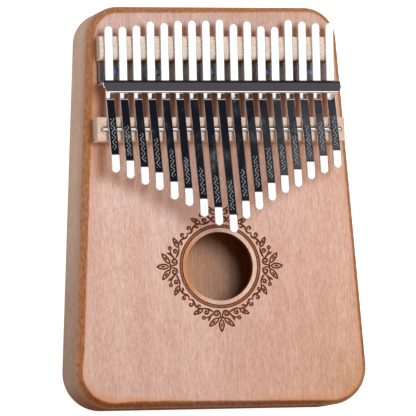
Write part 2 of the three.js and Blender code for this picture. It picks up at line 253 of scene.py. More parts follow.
def face_material():
    """The soundboard's mahogany: pale on the flat face, stained towards its edges and on the round-over."""
    material, tree, shader = new_material("mahogany_face")
    base = grain(tree, shader, colour(226, 197, 186), colour(196, 153, 136), colour(124, 84, 66))
    inset = add(tree, "ShaderNodeAttribute", output="Fac", attribute_name="inset")
    point, x, y, _ = surface(tree)

    # Broad tints over the flat face.
    warm = x.ramp(-20 * MM, 60 * MM)
    base = tint(base, warm, (0.98, 0.92, 0.85, 1))
    base = tint(base, y.ramp(0, -80 * MM), (0.91, 0.89, 0.87, 1))
    base = tint(base, warm * y.ramp(-20 * MM, -75 * MM), (0.95, 0.92, 0.87, 1))
    tan = x.ramp(46 * MM, 62 * MM) * y.ramp(-66 * MM, -82 * MM)
    base = tint(base, tan, (0.92, 0.86, 0.76, 1))
    base = tint(base, y.ramp(62 * MM, 84 * MM), (0.88, 0.90, 0.94, 1))

    # Orange stain that creeps in from the edge, most at the front corners.
    wobble = (noise(point, 160, detail=3) - 0.5) * (5 * MM)
    reach = (inset + wobble).ramp(6.2 * MM, 2.6 * MM)
    front = y.ramp(-76 * MM, -90 * MM) * abs(x).ramp(14 * MM, 44 * MM) * x.ramp(130 * MM, -10 * MM)
    base = mix(reach * (front * 0.7 + 0.22), base, colour(196, 132, 82))

    # Painted shade: the wood is made darker and warmer beside, under and between the tines, where their
    # shadow falls.
    beside = x.ramp(-49 * MM, -58 * MM) * y.ramp(5 * MM, 28 * MM) * y.ramp(82 * MM, 72 * MM)
    base = mix(beside * 0.5, base, colour(182, 118, 72))
    middle = abs(x).ramp(62 * MM, 54 * MM)
    under = middle * y.ramp(6 * MM, 24 * MM) * y.ramp(84 * MM, 77 * MM)
    base = tint(base, under, (0.94, 0.88, 0.81, 1))
    between = y.ramp(36 * MM, 39 * MM) * y.ramp(80 * MM, 76 * MM) * middle * x.ramp(30 * MM, -15 * MM)
    base = tint(base, between, (0.84, 0.78, 0.78, 1))

    # Painted light: amber warm light left of the sound hole, and lighter wood right of it.
    around_x, around_y, _ = split(add(tree, "ShaderNodeVectorMath", {0: point, 1: HOLE_CENTRE},
                                      operation="SUBTRACT"))
    radius = (around_x.math("POWER", 2.0) + around_y.math("POWER", 2.0)).math("SQRT")
    amber = around_x.ramp(-6 * MM, -14 * MM) * radius.ramp(19.5 * MM, 17 * MM)
    base = mix(amber * 0.85, base, colour(184, 122, 68))
    painted_light_right = around_x.ramp(4 * MM, 13 * MM) * radius.ramp(18 * MM, 17.4 * MM)
    base = tint(base, painted_light_right, (1.13, 1.19, 1.17, 1))

    # The round-over's dark stain. Its inner border wanders a little.
    lean = add(tree, "ShaderNodeMapRange",
               {0: x, 1: -60 * MM, 2: 60 * MM, 3: -1.0 * MM, 4: 0.35 * MM})
    turned = y.ramp(-66 * MM, -80 * MM) * x.ramp(-38 * MM, -52 * MM)
    border = inset + wobble * 0.12 + lean + turned * (0.8 * MM)
    edge = border.ramp(FACE_EDGE_RADIUS + 0.2 * MM, FACE_EDGE_RADIUS - 0.6 * MM)
    rim = mix(y.ramp(30 * MM, -88 * MM), colour(162, 108, 66), colour(150, 92, 48))
    pale = inset.ramp(0.9 * MM, 0.2 * MM) * x.ramp(-40 * MM, -55 * MM)
    rim = mix(pale, rim, colour(146, 112, 90))
    dark = mix(inset.ramp(2.4 * MM, 1.6 * MM), colour(134, 78, 42), colour(106, 60, 28))
    rim = mix(y.ramp(-76 * MM, -88 * MM), rim, dark)
    rim = mix(tan * 0.5, rim, colour(192, 142, 106))
    mottle = noise(point, 900, (1, 0.5, 1), detail=3)
    rim = tint(rim, mottle.ramp(0.35, 0.65), (0.72, 0.68, 0.64, 1))
    base = mix(edge.math("MULTIPLY", mottle * 0.4 + 0.72, clamp=True), base, rim)
    feed(shader.inputs["Base Color"], base)
    shader.inputs["Specular IOR Level"].default_value = 0.1
    return material


def wall_material():
    """The side walls' mahogany: greyer, darker towards the front as painted shade, stained just under the
    soundboard.
    """
    material, tree, shader = new_material("mahogany_wall")
    base = grain(tree, shader, colour(190, 169, 155), colour(156, 131, 116), colour(104, 81, 69))
    _, _, y, z = surface(tree)
    # Painted shade: darker towards the front, and dark brown at the front end.
    base = tint(base, y.ramp(20 * MM, -80 * MM), (0.60, 0.57, 0.54, 1))
    base = mix(y.ramp(-80 * MM, -91.5 * MM) * 0.92, base, colour(100, 60, 38))
    base = mix(z.ramp(BOARD_BOTTOM - 7 * MM, BOARD_BOTTOM) * 0.4, base, colour(150, 98, 62))
    feed(shader.inputs["Base Color"], base)
    shader.inputs["Specular IOR Level"].default_value = 0
    return material


def inside_material():
    """The inside of the box, seen through the sound hole, with painted shadow that darkens and blues it
    towards the right.
    """
    material, tree, shader = new_material("mahogany_inside")
    base = grain(tree, shader, colour(216, 158, 123), colour(164, 113, 84), colour(118, 78, 55))
    _, x, _, _ = surface(tree)
    # Painted shadow: darker and bluer towards the right.
    feed(shader.inputs["Base Color"], tint(base, x.ramp(-11 * MM, 15 * MM), (0.62, 0.70, 0.90, 1)))
    return material


def burnt_material():
    """The bottom and sides of the burnt engraving."""
    material, tree, shader = new_material("burnt_groove")
    char = noise(add(tree, "ShaderNodeTexCoord", output="Object"), 700, detail=4)
    feed(shader.inputs["Base Color"], mix(char.ramp(0.3, 0.7), colour(112, 60, 30), colour(74, 38, 20)))
    shader.inputs["Roughness"].default_value = 0.85
    shader.inputs["Specular IOR Level"].default_value = 0.1
    return material


def scorched_material():
    """The lightly scorched band between the two engraved rings."""
    material, tree, shader = new_material("scorched_ring")
    base = grain(tree, shader, colour(158, 108, 78), colour(118, 72, 48), colour(84, 48, 30))
    feed(shader.inputs["Base Color"], base)
    return material


def maple_material():
    """The bridges' maple. The front one is a little darker, partly its own tone and partly painted shade from
    the tines above it.
    """
    material, tree, shader = new_material("maple")
    base = grain(tree, shader, colour(231, 214, 202), colour(208, 184, 166), colour(164, 126, 98),
                 along="X", bump=0.06)
    _, _, y, _ = surface(tree)
    # The front bridge's darker tint: partly its own tone, partly painted shade.
    feed(shader.inputs["Base Color"], tint(base, y.ramp(46 * MM, 44 * MM), (0.90, 0.83, 0.77, 1)))
    return material


def end_grain_material():
    """The sawn ends of the bridges: greyer, with slanting growth lines."""
    material, tree, shader = new_material("maple_end_grain")
    point = add(tree, "ShaderNodeTexCoord", output="Object")
    turned = add(tree, "ShaderNodeMapping", {0: point, "Rotation": (0.6, 0.3, 0.5)})
    rings = add(tree, "ShaderNodeTexWave", {0: turned, "Scale": 380.0, "Distortion": 2.5, "Detail": 2.0,
                                            "Detail Scale": 2.0}, "Fac")
    speck = noise(point, 2600, detail=2)
    base = mix(rings, colour(176, 156, 140), colour(138, 119, 105))
    feed(shader.inputs["Base Color"], mix(speck.ramp(0.5, 0.75) * 0.5, base, colour(104, 84, 70)))
    shader.inputs["Roughness"].default_value = 0.75
    return material


def metal(name, hue, polished, worn, rough_shade_from=None, shade_hue=(0.42, 0.36, 0.34, 1)):
    """Plated or drawn steel with faint cloudy smears, rougher where worn; from the given y rearward it is
    rougher and darkened with painted shade, nearly black low down under the tines.
    """
    material, tree, shader = new_material(name)
    point, _, y, z = surface(tree)
    smear = noise(point, 260, (1, 0.5, 1), detail=4, roughness=0.6)
    hair = noise(point, 3000, (1, 0.04, 1), detail=2)
    level = smear.ramp(0.4, 0.75) * (worn - polished) + (hair * 0.02 + polished)
    base = mix(smear.ramp(0.3, 0.8), hue, [0.9 * c for c in hue[:3]] + [1])
    if rough_shade_from is not None:
        rough_shade = y.ramp(rough_shade_from, rough_shade_from + 0.3 * MM)
        # Painted shade: darker rearward, and nearly black low down under the tines.
        base = mix(rough_shade, base, shade_hue)
        base = mix(z.ramp(FACE + 8.6 * MM, FACE + 9 * MM) * rough_shade, base, (0.08, 0.072, 0.08, 1))
        level = level + rough_shade * 0.2
    feed(shader.inputs["Roughness"], level)
    feed(shader.inputs["Base Color"], base)
    shader.inputs["Metallic"].default_value = 1
    relief = add(tree, "ShaderNodeBump", {"Strength": 0.02, "Distance": RELIEF_DEPTH, "Height": smear})
    feed(shader.inputs["Normal"], relief)
    return material


TINE_PITCH = 6.615 * MM
TINE_SET_X = 0.72 * MM
# The ornament, in millimetres, as in the layer "along_tine".
ORNAMENT_WAVE = 4.4
ORNAMENT_SWING = 0.72
ORNAMENT_STROKE = 0.11
ORNAMENT_END = -1.3
ORNAMENT_LENGTH = 12.4
DOT_RADIUS = 0.24


def tine_top_material():
    """A tine's top: chrome with a frosted wave-and-dots ornament before the tip bend, and hazy patches."""
    material = metal("tine_top", CHROME_HUE, POLISHED, WORN)
    tree = material.node_tree
    shader = tree.nodes["Principled BSDF"]
    along, across, _ = split(add(tree, "ShaderNodeUVMap", uv_map="along_tine"))
    point, x, _, _ = surface(tree)
    index = ((x - TINE_SET_X) / TINE_PITCH).math("ROUND")
    chance = add(tree, "ShaderNodeTexWhiteNoise", {"W": index}, "Value", noise_dimensions="1D")

    # A sine line, and a dot in each of its hollows.
    turn = along * (2 * math.pi / ORNAMENT_WAVE) + chance * (2 * math.pi)
    wave = turn.math("SINE")
    slope = turn.math("COSINE") * (2 * math.pi * ORNAMENT_SWING / ORNAMENT_WAVE)
    off = abs(across - wave * ORNAMENT_SWING) / (abs(slope).math("POWER", 2.0) + 1.0).math("SQRT")
    line = off.ramp(ORNAMENT_STROKE + 0.04, ORNAMENT_STROKE - 0.04)
    to_dot = ((turn / math.pi).math("FRACT") - 0.5) * (ORNAMENT_WAVE / 2)
    away = add(tree, "ShaderNodeCombineXYZ", {0: to_dot, 1: across + wave * ORNAMENT_SWING})
    away = add(tree, "ShaderNodeVectorMath", {0: away}, "Value", operation="LENGTH")
    mark = line.math("MAXIMUM", away.ramp(DOT_RADIUS + 0.05, DOT_RADIUS - 0.05))
    start = along - chance * -3.0
    mark = mark * start.ramp(ORNAMENT_END - ORNAMENT_LENGTH - 0.2, ORNAMENT_END - ORNAMENT_LENGTH)
    mark = mark * along.ramp(ORNAMENT_END, ORNAMENT_END - 0.2)

    def current(name):
        return Field(shader.inputs[name].links[0].from_socket)

    feed(shader.inputs["Base Color"], mix(mark, current("Base Color"), (0.25, 0.265, 0.30, 1)))
    feed(shader.inputs["Metallic"], add(tree, "ShaderNodeMath", {0: 1.0, 1: mark}, operation="SUBTRACT"))
    cloud = noise(point, 120, (1, 0.6, 1), detail=4, roughness=0.65)
    haze = cloud.ramp(0.5, 0.72) * along.ramp(-0.5, -3.0)
    feed(shader.inputs["Roughness"], (current("Roughness") + haze * 0.22).math("MAXIMUM", mark * 0.6))
    return material


FACE_WOOD = face_material()
WALL_WOOD = wall_material()
BURNT = burnt_material()
INSIDE_WOOD = inside_material()
SCORCHED = scorched_material()
MAPLE = maple_material()
END_GRAIN = end_grain_material()
CHROME = metal("chrome", CHROME_HUE, POLISHED, WORN)
TINE_TOP = tine_top_material()
# The bracket's chrome, darkened rearward with painted shade.
BRACKET_CHROME = metal("bracket_chrome", CHROME_HUE, POLISHED, WORN, SHADED_ROUGH_REAR)
# The bracket's end faces: bluish, rough, and darkened rearward with painted shade.
BRACKET_END = metal("bracket_end", (0.85, 0.95, 1.0, 1), 0.3, 0.4, SHADED_ROUGH_REAR, (0.12, 0.10, 0.095, 1))
STEEL = metal("steel", (0.88, 0.89, 0.91, 1), 0.05, 0.12)
SCREW_STEEL = metal("screw_steel", (0.46, 0.62, 1.0, 1), 0.16, 0.3)


# ---------------------------------------------------------------- mesh helpers
def make_object(name, points, faces, *materials):
    mesh = bpy.data.meshes.new(name)
    mesh.from_pydata([tuple(p) for p in points], [], faces)
    mesh.validate()
    obj = bpy.data.objects.new(name, mesh)
    bpy.context.collection.objects.link(obj)
    for material in materials:
        mesh.materials.append(material)
    return obj


def loft(loops, ring=False):
    """Joins closed loops of equally many points. It closes both ends, or joins the last loop to the first."""
    count = len(loops[0])
    points = [p for loop in loops for p in loop]
    faces = [] if ring else [list(reversed(range(count)))]
    for i in range(len(loops) - (not ring)):
        j = (i + 1) % len(loops)
        for k in range(count):
            after = (k + 1) % count
            faces.append([i * count + k, i * count + after, j * count + after, j * count + k])
    if not ring:
        faces.append(list(range((len(loops) - 1) * count, len(loops) * count)))
    return points, faces


def loops_at(outline, *heights):
    """A 2-D outline as one loop at each height."""
    return [[Vector((p[0], p[1], z)) for p in outline] for z in heights]


def circle(radius, height, steps, centre):
    angles = (2 * math.pi * k / steps for k in range(steps))
    return [centre + Vector((radius * math.cos(t), radius * math.sin(t), height)) for t in angles]


def lathe(profile, steps, centre=Vector((0, 0, 0))):
    """Turns (radius, height) points round an upright axis. The profile's ends are closed flat."""
    return loft([circle(radius, height, steps, centre) for radius, height in profile])


def polar(radius, degrees):
    angle = math.radians(degrees)
    return Vector((radius * math.cos(angle), radius * math.sin(angle)))


def arc(centre, radius, start, end, steps):
    """2-D points round centre from one angle to another, in degrees."""
    return [centre + polar(radius, start + (end - start) * k / steps) for k in range(steps + 1)]


def smooth(obj, degrees=35):
    """Smooth shading in which large flat faces stay flat beside their rounded edges."""
    mesh = obj.data
    mesh.shade_smooth()
    mesh.set_sharp_from_angle(angle=math.radians(degrees))
    weighted = obj.modifiers.new("weighted", "WEIGHTED_NORMAL")
    weighted.weight = 100
    weighted.keep_sharp = True
    apply_modifiers(obj)


def apply_modifiers(obj):
    depsgraph = bpy.context.evaluated_depsgraph_get()
    mesh = bpy.data.meshes.new_from_object(obj.evaluated_get(depsgraph))
    obj.modifiers.clear()
    old = obj.data
    obj.data = mesh
    mesh.name = obj.name
    bpy.data.meshes.remove(old)


def carve(obj, cutter):
    """Cuts the closed mesh `cutter` out of obj. The cut's walls keep the cutter's material."""
    cut = obj.modifiers.new("cut", "BOOLEAN")
    cut.operation = "DIFFERENCE"
    cut.solver = "MANIFOLD"
    cut.object = cutter
    apply_modifiers(obj)
    bpy.data.objects.remove(cutter)


def bevel(obj, width, segments=2, degrees=40):
    edge = obj.modifiers.new("edge", "BEVEL")
    edge.width = width
    edge.segments = segments
    edge.limit_method = "ANGLE"
    edge.angle_limit = math.radians(degrees)
    edge.harden_normals = False
    apply_modifiers(obj)


def place(obj, body, slot, *nodes):
    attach(obj, body)
    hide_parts(*nodes)


def quarter_round(radius, steps):
    """(inset, height) pairs of a quarter round, from the wall up to the face."""
    angles = [math.pi / 2 * k / steps for k in range(steps + 1)]
    return [(radius * (1 - math.cos(a)), radius * math.sin(a)) for a in angles]


# ---------------------------------------------------------------- the box
def body_outline(inset, corner_steps=24):
    """The box's plan, a rounded trapezoid set in from the outer wall, as (x, y) points."""
    lean = math.atan2((FRONT_WIDTH - REAR_WIDTH) / 2, 2 * HALF_LENGTH)

    def half_width(y):
        share = (HALF_LENGTH - y) / (2 * HALF_LENGTH)
        return REAR_WIDTH / 2 + share * (FRONT_WIDTH - REAR_WIDTH) / 2 - inset / math.cos(lean)

    front_radius = FRONT_CORNER_RADIUS - inset
    rear_radius = REAR_CORNER_RADIUS - inset
    front_y = -HALF_LENGTH + FRONT_CORNER_RADIUS
    rear_y = HALF_LENGTH - REAR_CORNER_RADIUS
    front_x = half_width(front_y) - front_radius / math.cos(lean)
    rear_x = half_width(rear_y) - rear_radius / math.cos(lean)
    quarter = math.pi / 2
    corners = [
        (front_x, front_y, front_radius, -quarter, lean),
        (rear_x, rear_y, rear_radius, lean, quarter),
        (-rear_x, rear_y, rear_radius, quarter, 2 * quarter - lean),
        (-front_x, front_y, front_radius, 2 * quarter - lean, 3 * quarter),
    ]
    points = []
    for x, y, radius, start, end in corners:
        for k in range(corner_steps + 1):
            angle = start + (end - start) * k / corner_steps
            points.append((x + radius * math.cos(angle), y + radius * math.sin(angle)))
    return points


def slab(name, levels, *materials):
    """A closed solid with the box's plan at each (inset, z) of levels, from the bottom up."""
    loops = [loops_at(body_outline(inset), z)[0] for inset, z in levels]
    return make_object(name, *loft(loops), *materials)


def store_inset(obj):
    """Writes each vertex's distance in from the outer wall to the attribute `inset`."""
    outline = [Vector(p) for p in body_outline(0)]
    sides = [(a, (b - a)) for a, b in zip(outline, outline[1:] + outline[:1]) if (b - a).length > 1e-9]
    attribute = obj.data.attributes.new("inset", "FLOAT", "POINT")

    def distance(point):
        return min((point - a - side * max(0, min(1, (point - a).dot(side) / side.length_squared))).length
                   for a, side in sides)

    attribute.data.foreach_set("value", [distance(vertex.co.to_2d()) for vertex in obj.data.vertices])


# Burnt ornament round the sound hole, in polar form: radius in mm and angle in degrees.
GROOVE_DEPTH = 0.16 * MM
RING_OUTER = 19.2
RING_INNER = 18.0
RING_LINE = 0.5
LINE_WIDTH = 0.93
OUTLINE_WIDTH = 0.76  # round leaves and berries
SCORCH_DEPTH = 0.08 * MM


def ring_cutter(inner, outer, depth, material):
    """A flat ring-shaped cutter round the sound hole; radii in mm."""
    corners = ((outer, -depth), (outer, MM), (inner, MM), (inner, -depth))
    loops = [circle(radius * MM, FACE + z, 128, HOLE_CENTRE) for radius, z in corners]
    return make_object("ring_cutter", *loft(loops, ring=True), material)


def ribbon(line, width, closed=False):
    """The outline faces of a stroke: left and right points along a line of 2-D points."""
    left, right = [], []
    count = len(line)
    for i, point in enumerate(line):
        before = line[i - 1] if closed or i > 0 else point
        after = line[(i + 1) % count] if closed or i < count - 1 else point
        along = (after - before).normalized()
        side = Vector((-along.y, along.x)) * width[i] / 2
        left.append(point + side)
        right.append(point - side)
    return left, right


def stroke_solid(line, width, closed=False):
    """(points, faces) of a closed prism over a stroke, cutting GROOVE_DEPTH into the face."""
    left, right = ribbon(line, width, closed)
    count = len(line)
    points = [p for loop in loops_at(left + right, FACE - GROOVE_DEPTH, FACE + MM) for p in loop]
    left_low, right_low, left_high, right_high = 0, count, 2 * count, 3 * count
    faces = []
    for i in range(count if closed else count - 1):
        j = (i + 1) % count
        faces.append([left_low + i, left_low + j, right_low + j, right_low + i])
        faces.append([left_high + j, left_high + i, right_high + i, right_high + j])
        faces.append([left_low + j, left_low + i, left_high + i, left_high + j])
        faces.append([right_low + i, right_low + j, right_high + j, right_high + i])
    if not closed:
        last = count - 1
        faces.append([left_low, right_low, right_high, left_high])
        faces.append([right_low + last, left_low + last, left_high + last, right_high + last])
    return points, faces


def bezier(a, b, c, d, steps=14):
    out = []
    for k in range(steps + 1):
        t = k / steps
        s = 1 - t
        out.append(a * s ** 3 + b * (3 * s * s * t) + c * (3 * s * t * t) + d * t ** 3)
    return out


def leaf(base, tip, half_width):
    """A closed leaf outline from base to tip, in mm."""
    along = tip - base
    side = Vector((-along.y, along.x)).normalized() * half_width
    one = bezier(base, base + along * 0.25 + side * 1.5, base + along * 0.72 + side * 0.9, tip, 10)
    two = bezier(tip, base + along * 0.72 - side * 0.9, base + along * 0.25 - side * 1.5, base, 10)
    return one[:-1] + two[:-1]


def curl(centre, radius, start, turns, end_radius=0.35, steps=26):
    """A spiral round centre, from its outside to its middle; start in degrees, turns signed."""
    out = []
    for k in range(steps + 1):
        t = k / steps
        r = radius + (end_radius - radius) * t ** 0.8
        out.append(centre + polar(r, start + 360 * turns * t))
    return out


def berry(centre, radius):
    return [centre + polar(radius, 360 * k / 14) for k in range(14)]


def spot(across, out):
    """A point `across` millimetres beside the rosette's axis and `out` millimetres along it."""
    return Vector((out, across))


def ornament_wedge():
    """Strokes of one eighth of the rosette, from its axis to the vine's crest at 45 degrees.
    Each is (group, line, closed); strokes of one group never cross."""
    first_curl = bezier(spot(0.0, 24.3), spot(0.3, 23.4), spot(0.5, 22.8), spot(0.62, 22.1), 6)
    first_curl += curl(spot(2.3, 21.9), 1.68, -96, -1.3, 0.32)[1:]
    vine = bezier(spot(3.8, 21.2), spot(5.2, 20.2), spot(6.6, 19.4), spot(8.8, 19.4), 10)
    crest = bezier(spot(8.6, 19.4), spot(11.2, 19.7), spot(12.6, 18.3), spot(12.9, 16.7), 12)
    crest += bezier(spot(12.9, 16.7), spot(13.2, 15.4), spot(14.3, 14.9), spot(15.4, 15.4), 8)[1:]
    return [
        (0, first_curl, False),
        (0, curl(spot(7.2, 21.1), 1.15, -140, 1.15, 0.3, 22), False),
        (0, crest, False),
        (1, leaf(spot(1.5, 24.0), spot(6.0, 27.6), 1.05), True),
        (1, vine, False),
        (1, curl(spot(14.5, 17.5), 1.1, -140, 1.05, 0.3, 20), False),
        (1, berry(spot(8.5, 23.7), 0.62), True),
        (2, bezier(spot(0.1, 24.0), spot(0.5, 23.5), spot(1.0, 23.6), spot(1.7, 24.2), 6), False),
        (2, bezier(spot(3.7, 21.4), spot(4.6, 22.6), spot(5.6, 23.8), spot(7.9, 23.6), 10), False),
        (2, leaf(spot(8.9, 19.8), spot(13.2, 22.0), 0.95), True),
        (2, bezier(spot(11.8, 18.8), spot(11.3, 17.6), spot(9.7, 17.7), spot(10.0, 18.7), 8), False),
        (3, [spot(2.9, 25.1), spot(3.7, 25.75), spot(4.5, 26.4)], False),
        (3, [spot(10.2, 20.45), spot(11.0, 20.87), spot(11.8, 21.3)], False),
        (3, bezier(spot(5.0, 22.9), spot(5.6, 23.7), spot(6.0, 24.3), spot(6.4, 25.2), 6), False),
    ]


def rosette_cutters():
    """The rosette's grooves as a few cutters, none of which crosses itself."""
    groups = {}

    def put(group, line, closed):
        count = len(line)
        if closed:
            width = [OUTLINE_WIDTH] * count
        else:
            taper = [min(1, 0.45 + 2.2 * min(i, count - 1 - i) / count) for i in range(count)]
            width = [LINE_WIDTH * t for t in taper]
        line = [p * MM + HOLE_CENTRE.to_2d() for p in line]
        points, faces = stroke_solid(line, [w * MM for w in width], closed)
        all_points, all_faces = groups.setdefault(group, ([], []))
        offset = len(all_points)
        all_points += points
        all_faces += [[offset + i for i in face] for face in faces]

    for quarter in range(4):
        turn = Matrix.Rotation(math.radians(90 * quarter), 2)
        put("axis", [turn @ p for p in leaf(polar(24.6, 0), polar(30.1, 0), 1.2)], True)
        put("vein", [turn @ p for p in (polar(26.0, 0), polar(27.1, 0), polar(28.2, 0))], False)
        for mirror in (1, -1):
            flip = Matrix(((1, 0), (0, mirror)))
            for group, line, closed in ornament_wedge():
                put((group, mirror), [turn @ (flip @ p) for p in line], closed)
    cutters = []
    for group, (points, faces) in groups.items():
        cutter = make_object("stroke_cutter", points, faces, BURNT)
        mesh = bmesh.new()
        mesh.from_mesh(cutter.data)
        bmesh.ops.recalc_face_normals(mesh, faces=mesh.faces)
        mesh.to_mesh(cutter.data)
        mesh.free()
        cutters.append(cutter)
    return cutters


SCREW_NAMES = [f"screw_{i}" for i in range(1, 6)]
SCREW_HOLE_RADIUS = 1.8 * MM


def screw_axis(name):
    """The point of a screw's axis at height 0."""
    low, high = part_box(name)
    return Vector(((low.x + high.x) / 2, (low.y + high.y) / 2, 0))


def drill_screw_holes(obj, low, high, material):
    for name in SCREW_NAMES:
        hole = lathe([(SCREW_HOLE_RADIUS, low), (SCREW_HOLE_RADIUS, high)], 24, screw_axis(name))
        carve(obj, make_object("screw_cutter", *hole, material))


def make_soundboard():
    levels = [(0, BOARD_BOTTOM)]
    levels += [(inset, FACE - FACE_EDGE_RADIUS + rise) for inset, rise in quarter_round(FACE_EDGE_RADIUS, 8)]
    levels += [(inset * MM, FACE) for inset in (4, 6, 8, 10, 12)]
    board = slab("soundboard_panel", levels, FACE_WOOD, BURNT, SCORCHED, WALL_WOOD)
    for polygon in board.data.polygons:
        if abs(polygon.normal.z) < 0.05:
            polygon.material_index = 3
    rim = HOLE_EDGE_RADIUS
    profile = [(HOLE_RADIUS, BOARD_BOTTOM - MM), (HOLE_RADIUS, FACE - rim)]
    profile += [(HOLE_RADIUS + inset, FACE - rim + rise) for inset, rise in quarter_round(rim, 4)[1:]]
    profile += [(HOLE_RADIUS + rim, FACE + MM)]
    cutter = make_object("hole_cutter", *lathe(profile, 128, HOLE_CENTRE), FACE_WOOD, BURNT)
    for polygon in cutter.data.polygons:
        if polygon.center.z < FACE - rim and abs(polygon.normal.z) < 0.1:
            polygon.material_index = 1
    carve(board, cutter)
    carve(board, ring_cutter(RING_INNER, RING_OUTER, SCORCH_DEPTH, SCORCHED))
    for radius in (RING_INNER, RING_OUTER):
        carve(board, ring_cutter(radius - RING_LINE / 2, radius + RING_LINE / 2, GROOVE_DEPTH, BURNT))
    for cutter in rosette_cutters():
        carve(board, cutter)
    drill_screw_holes(board, BOARD_BOTTOM - MM, FACE + MM, FACE_WOOD)
    store_inset(board)
    smooth(board)
    place(board, "box", "mahogany_face", "soundboard")


def make_rim():
    """The box's walls: one milled ring."""
    loops = loops_at(body_outline(0), BACK_TOP, BOARD_BOTTOM)
    loops += loops_at(body_outline(WALL_THICKNESS), BOARD_BOTTOM, BACK_TOP)
    wall = make_object("body_wall", *loft(loops, ring=True), WALL_WOOD)
    smooth(wall)
    place(wall, "box", "mahogany_wall", "body_rim")


def make_back():
    levels = [(inset, BACK_EDGE_RADIUS - rise)
              for inset, rise in reversed(quarter_round(BACK_EDGE_RADIUS, 5))]
    levels.append((0, BACK_TOP))
    back = slab("back_panel", levels, WALL_WOOD, INSIDE_WOOD)
    back.data.polygons[-1].material_index = 1
    smooth(back)
    place(back, "box", "mahogany_wall", "back_board")


# ---------------------------------------------------------------- bridges and rod
def bar_along_x(name, section, left, right, edge, *materials):
    """A bar along X with a (y, z) section and softened ends."""
    ys = [p[0] for p in section]
    zs = [p[1] for p in section]
    centre_y, centre_z = (min(ys) + max(ys)) / 2, (min(zs) + max(zs)) / 2
    shrink_y = 1 - 2 * edge / (max(ys) - min(ys))
    shrink_z = 1 - 2 * edge / (max(zs) - min(zs))

    def loop(x, share):
        return [Vector((x, centre_y + (y - centre_y) * (1 + (shrink_y - 1) * share),
                        centre_z + (z - centre_z) * (1 + (shrink_z - 1) * share))) for y, z in section]

    stations = [(left, 1), (left + 0.3 * edge, 0.45), (left + edge, 0)]
    inner = [(left + (right - left) * k / 6, 0) for k in range(1, 6)]
    ends = [(right - edge, 0), (right - 0.3 * edge, 0.45), (right, 1)]
    return make_object(name, *loft([loop(x, share) for x, share in stations + inner + ends]), *materials)


def mark_end_grain(bridge):
    for polygon in bridge.data.polygons:
        if abs(polygon.normal.x) > 0.9:
            polygon.material_index = 1


SHOULDER_HEIGHT = 4.9 * MM


def make_rear_bridge():
    low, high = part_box("rear_bridge")
    centre, half = (low.y + high.y) / 2, (high.y - low.y) / 2
    shoulder = low.z + SHOULDER_HEIGHT
    crown = high.z - shoulder
    foot = 0.3 * MM
    section = [Vector((centre - half + foot, low.z)), Vector((centre + half - foot, low.z)),
               Vector((centre + half, low.z + foot))]
    section += bezier(Vector((centre + half, shoulder)), Vector((centre + half, shoulder + crown)),
                      Vector((centre + half / 2, high.z)), Vector((centre, high.z)), 12)
    section += bezier(Vector((centre, high.z)), Vector((centre - half / 2, high.z)),
                      Vector((centre - half, shoulder + crown)), Vector((centre - half, shoulder)), 12)[1:]
    section.append(Vector((centre - half, low.z + foot)))
    bridge = bar_along_x("rear_bridge_bar", section, low.x, high.x, 0.35 * MM, MAPLE, END_GRAIN)
    mark_end_grain(bridge)
    smooth(bridge, 50)
    place(bridge, "box", "maple", "rear_bridge")


GROOVE_WIDTH = 2.9 * MM
BRIDGE_GROOVE_DEPTH = 1 * MM
GROOVE_END_MARGIN = 1.4 * MM


def make_front_bridge():
    low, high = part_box("front_bridge")
    edge = 0.9 * MM
    section = [(low.y, low.z), (high.y, low.z)]
    section += arc(Vector((high.y - edge, high.z - edge)), edge, 0, 90, 6)
    section += arc(Vector((low.y + edge, high.z - edge)), edge, 90, 180, 6)
    bridge = bar_along_x("front_bridge_bar", section, low.x, high.x, 0.4 * MM, MAPLE, END_GRAIN)
    mark_end_grain(bridge)
    radius = GROOVE_WIDTH / 2
    middle = (low.y + high.y) / 2
    reach = GROOVE_END_MARGIN + radius
    outline = arc(Vector((high.x - reach, middle)), radius, -90, 90, 12)
    outline += arc(Vector((low.x + reach, middle)), radius, 90, 270, 12)
    groove = loft(loops_at(outline, high.z - BRIDGE_GROOVE_DEPTH, high.z + MM))
    carve(bridge, make_object("groove_cutter", *groove, MAPLE))
    smooth(bridge, 40)
    place(bridge, "box", "maple", "front_bridge")


def make_rod():
    low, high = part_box("saddle_rod")
    radius = (high.z - low.z) / 2
    edge = 0.3 * MM
    length = high.x - low.x
    profile = [(radius - edge, 0), (radius - 0.3 * edge, 0.3 * edge), (radius, edge), (radius, length - edge),
               (radius - 0.3 * edge, length - 0.3 * edge), (radius - edge, length)]
    rod = make_object("saddle_rod_bar", *lathe(profile, 32), STEEL)
    rod.data.transform(Matrix.Translation((low.x, (low.y + high.y) / 2, (low.z + high.z) / 2))
                       @ Matrix.Rotation(math.pi / 2, 4, "Y"))
    smooth(rod, 50)
    place(rod, "box", "steel", "saddle_rod")


# ---------------------------------------------------------------- pressure bracket
PLATE = 1.6 * MM
WEB_FOOT = 55.95 * MM
WEB_TOP = 56.4 * MM
WEB_TOP_HEIGHT = 10.1 * MM
LIP = 51.55 * MM
LIP_HEIGHT = 12.3 * MM
BEND_REACH = 1.3 * MM
LIP_CORNER_RADIUS = 4 * MM
WINDOW_WIDTH = 4.7 * MM
WINDOW_FLOOR = 2.8 * MM
WINDOW_TOP = 8.5 * MM


def fillet(corners, reach, steps=8):
    """Rounds the corners of an open line of 2-D points."""
    line = [corners[0]]
    for before, corner, after in zip(corners, corners[1:], corners[2:]):
        start = corner + (before - corner).normalized() * reach
        end = corner + (after - corner).normalized() * reach
        for k in range(steps + 1):
            t = k / steps
            line.append(start * (1 - t) ** 2 + corner * (2 * t * (1 - t)) + end * t * t)
    line.append(corners[-1])
    return line


def tine_x(number):
    low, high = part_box(f"tine_{number:02d}_anchor")
    return (low.x + high.x) / 2


def box_mesh(name, low, high, material):
    outline = ((low.x, low.y), (high.x, low.y), (high.x, high.y), (low.x, high.y))
    return make_object(name, *loft(loops_at(outline, low.z, high.z)), material)


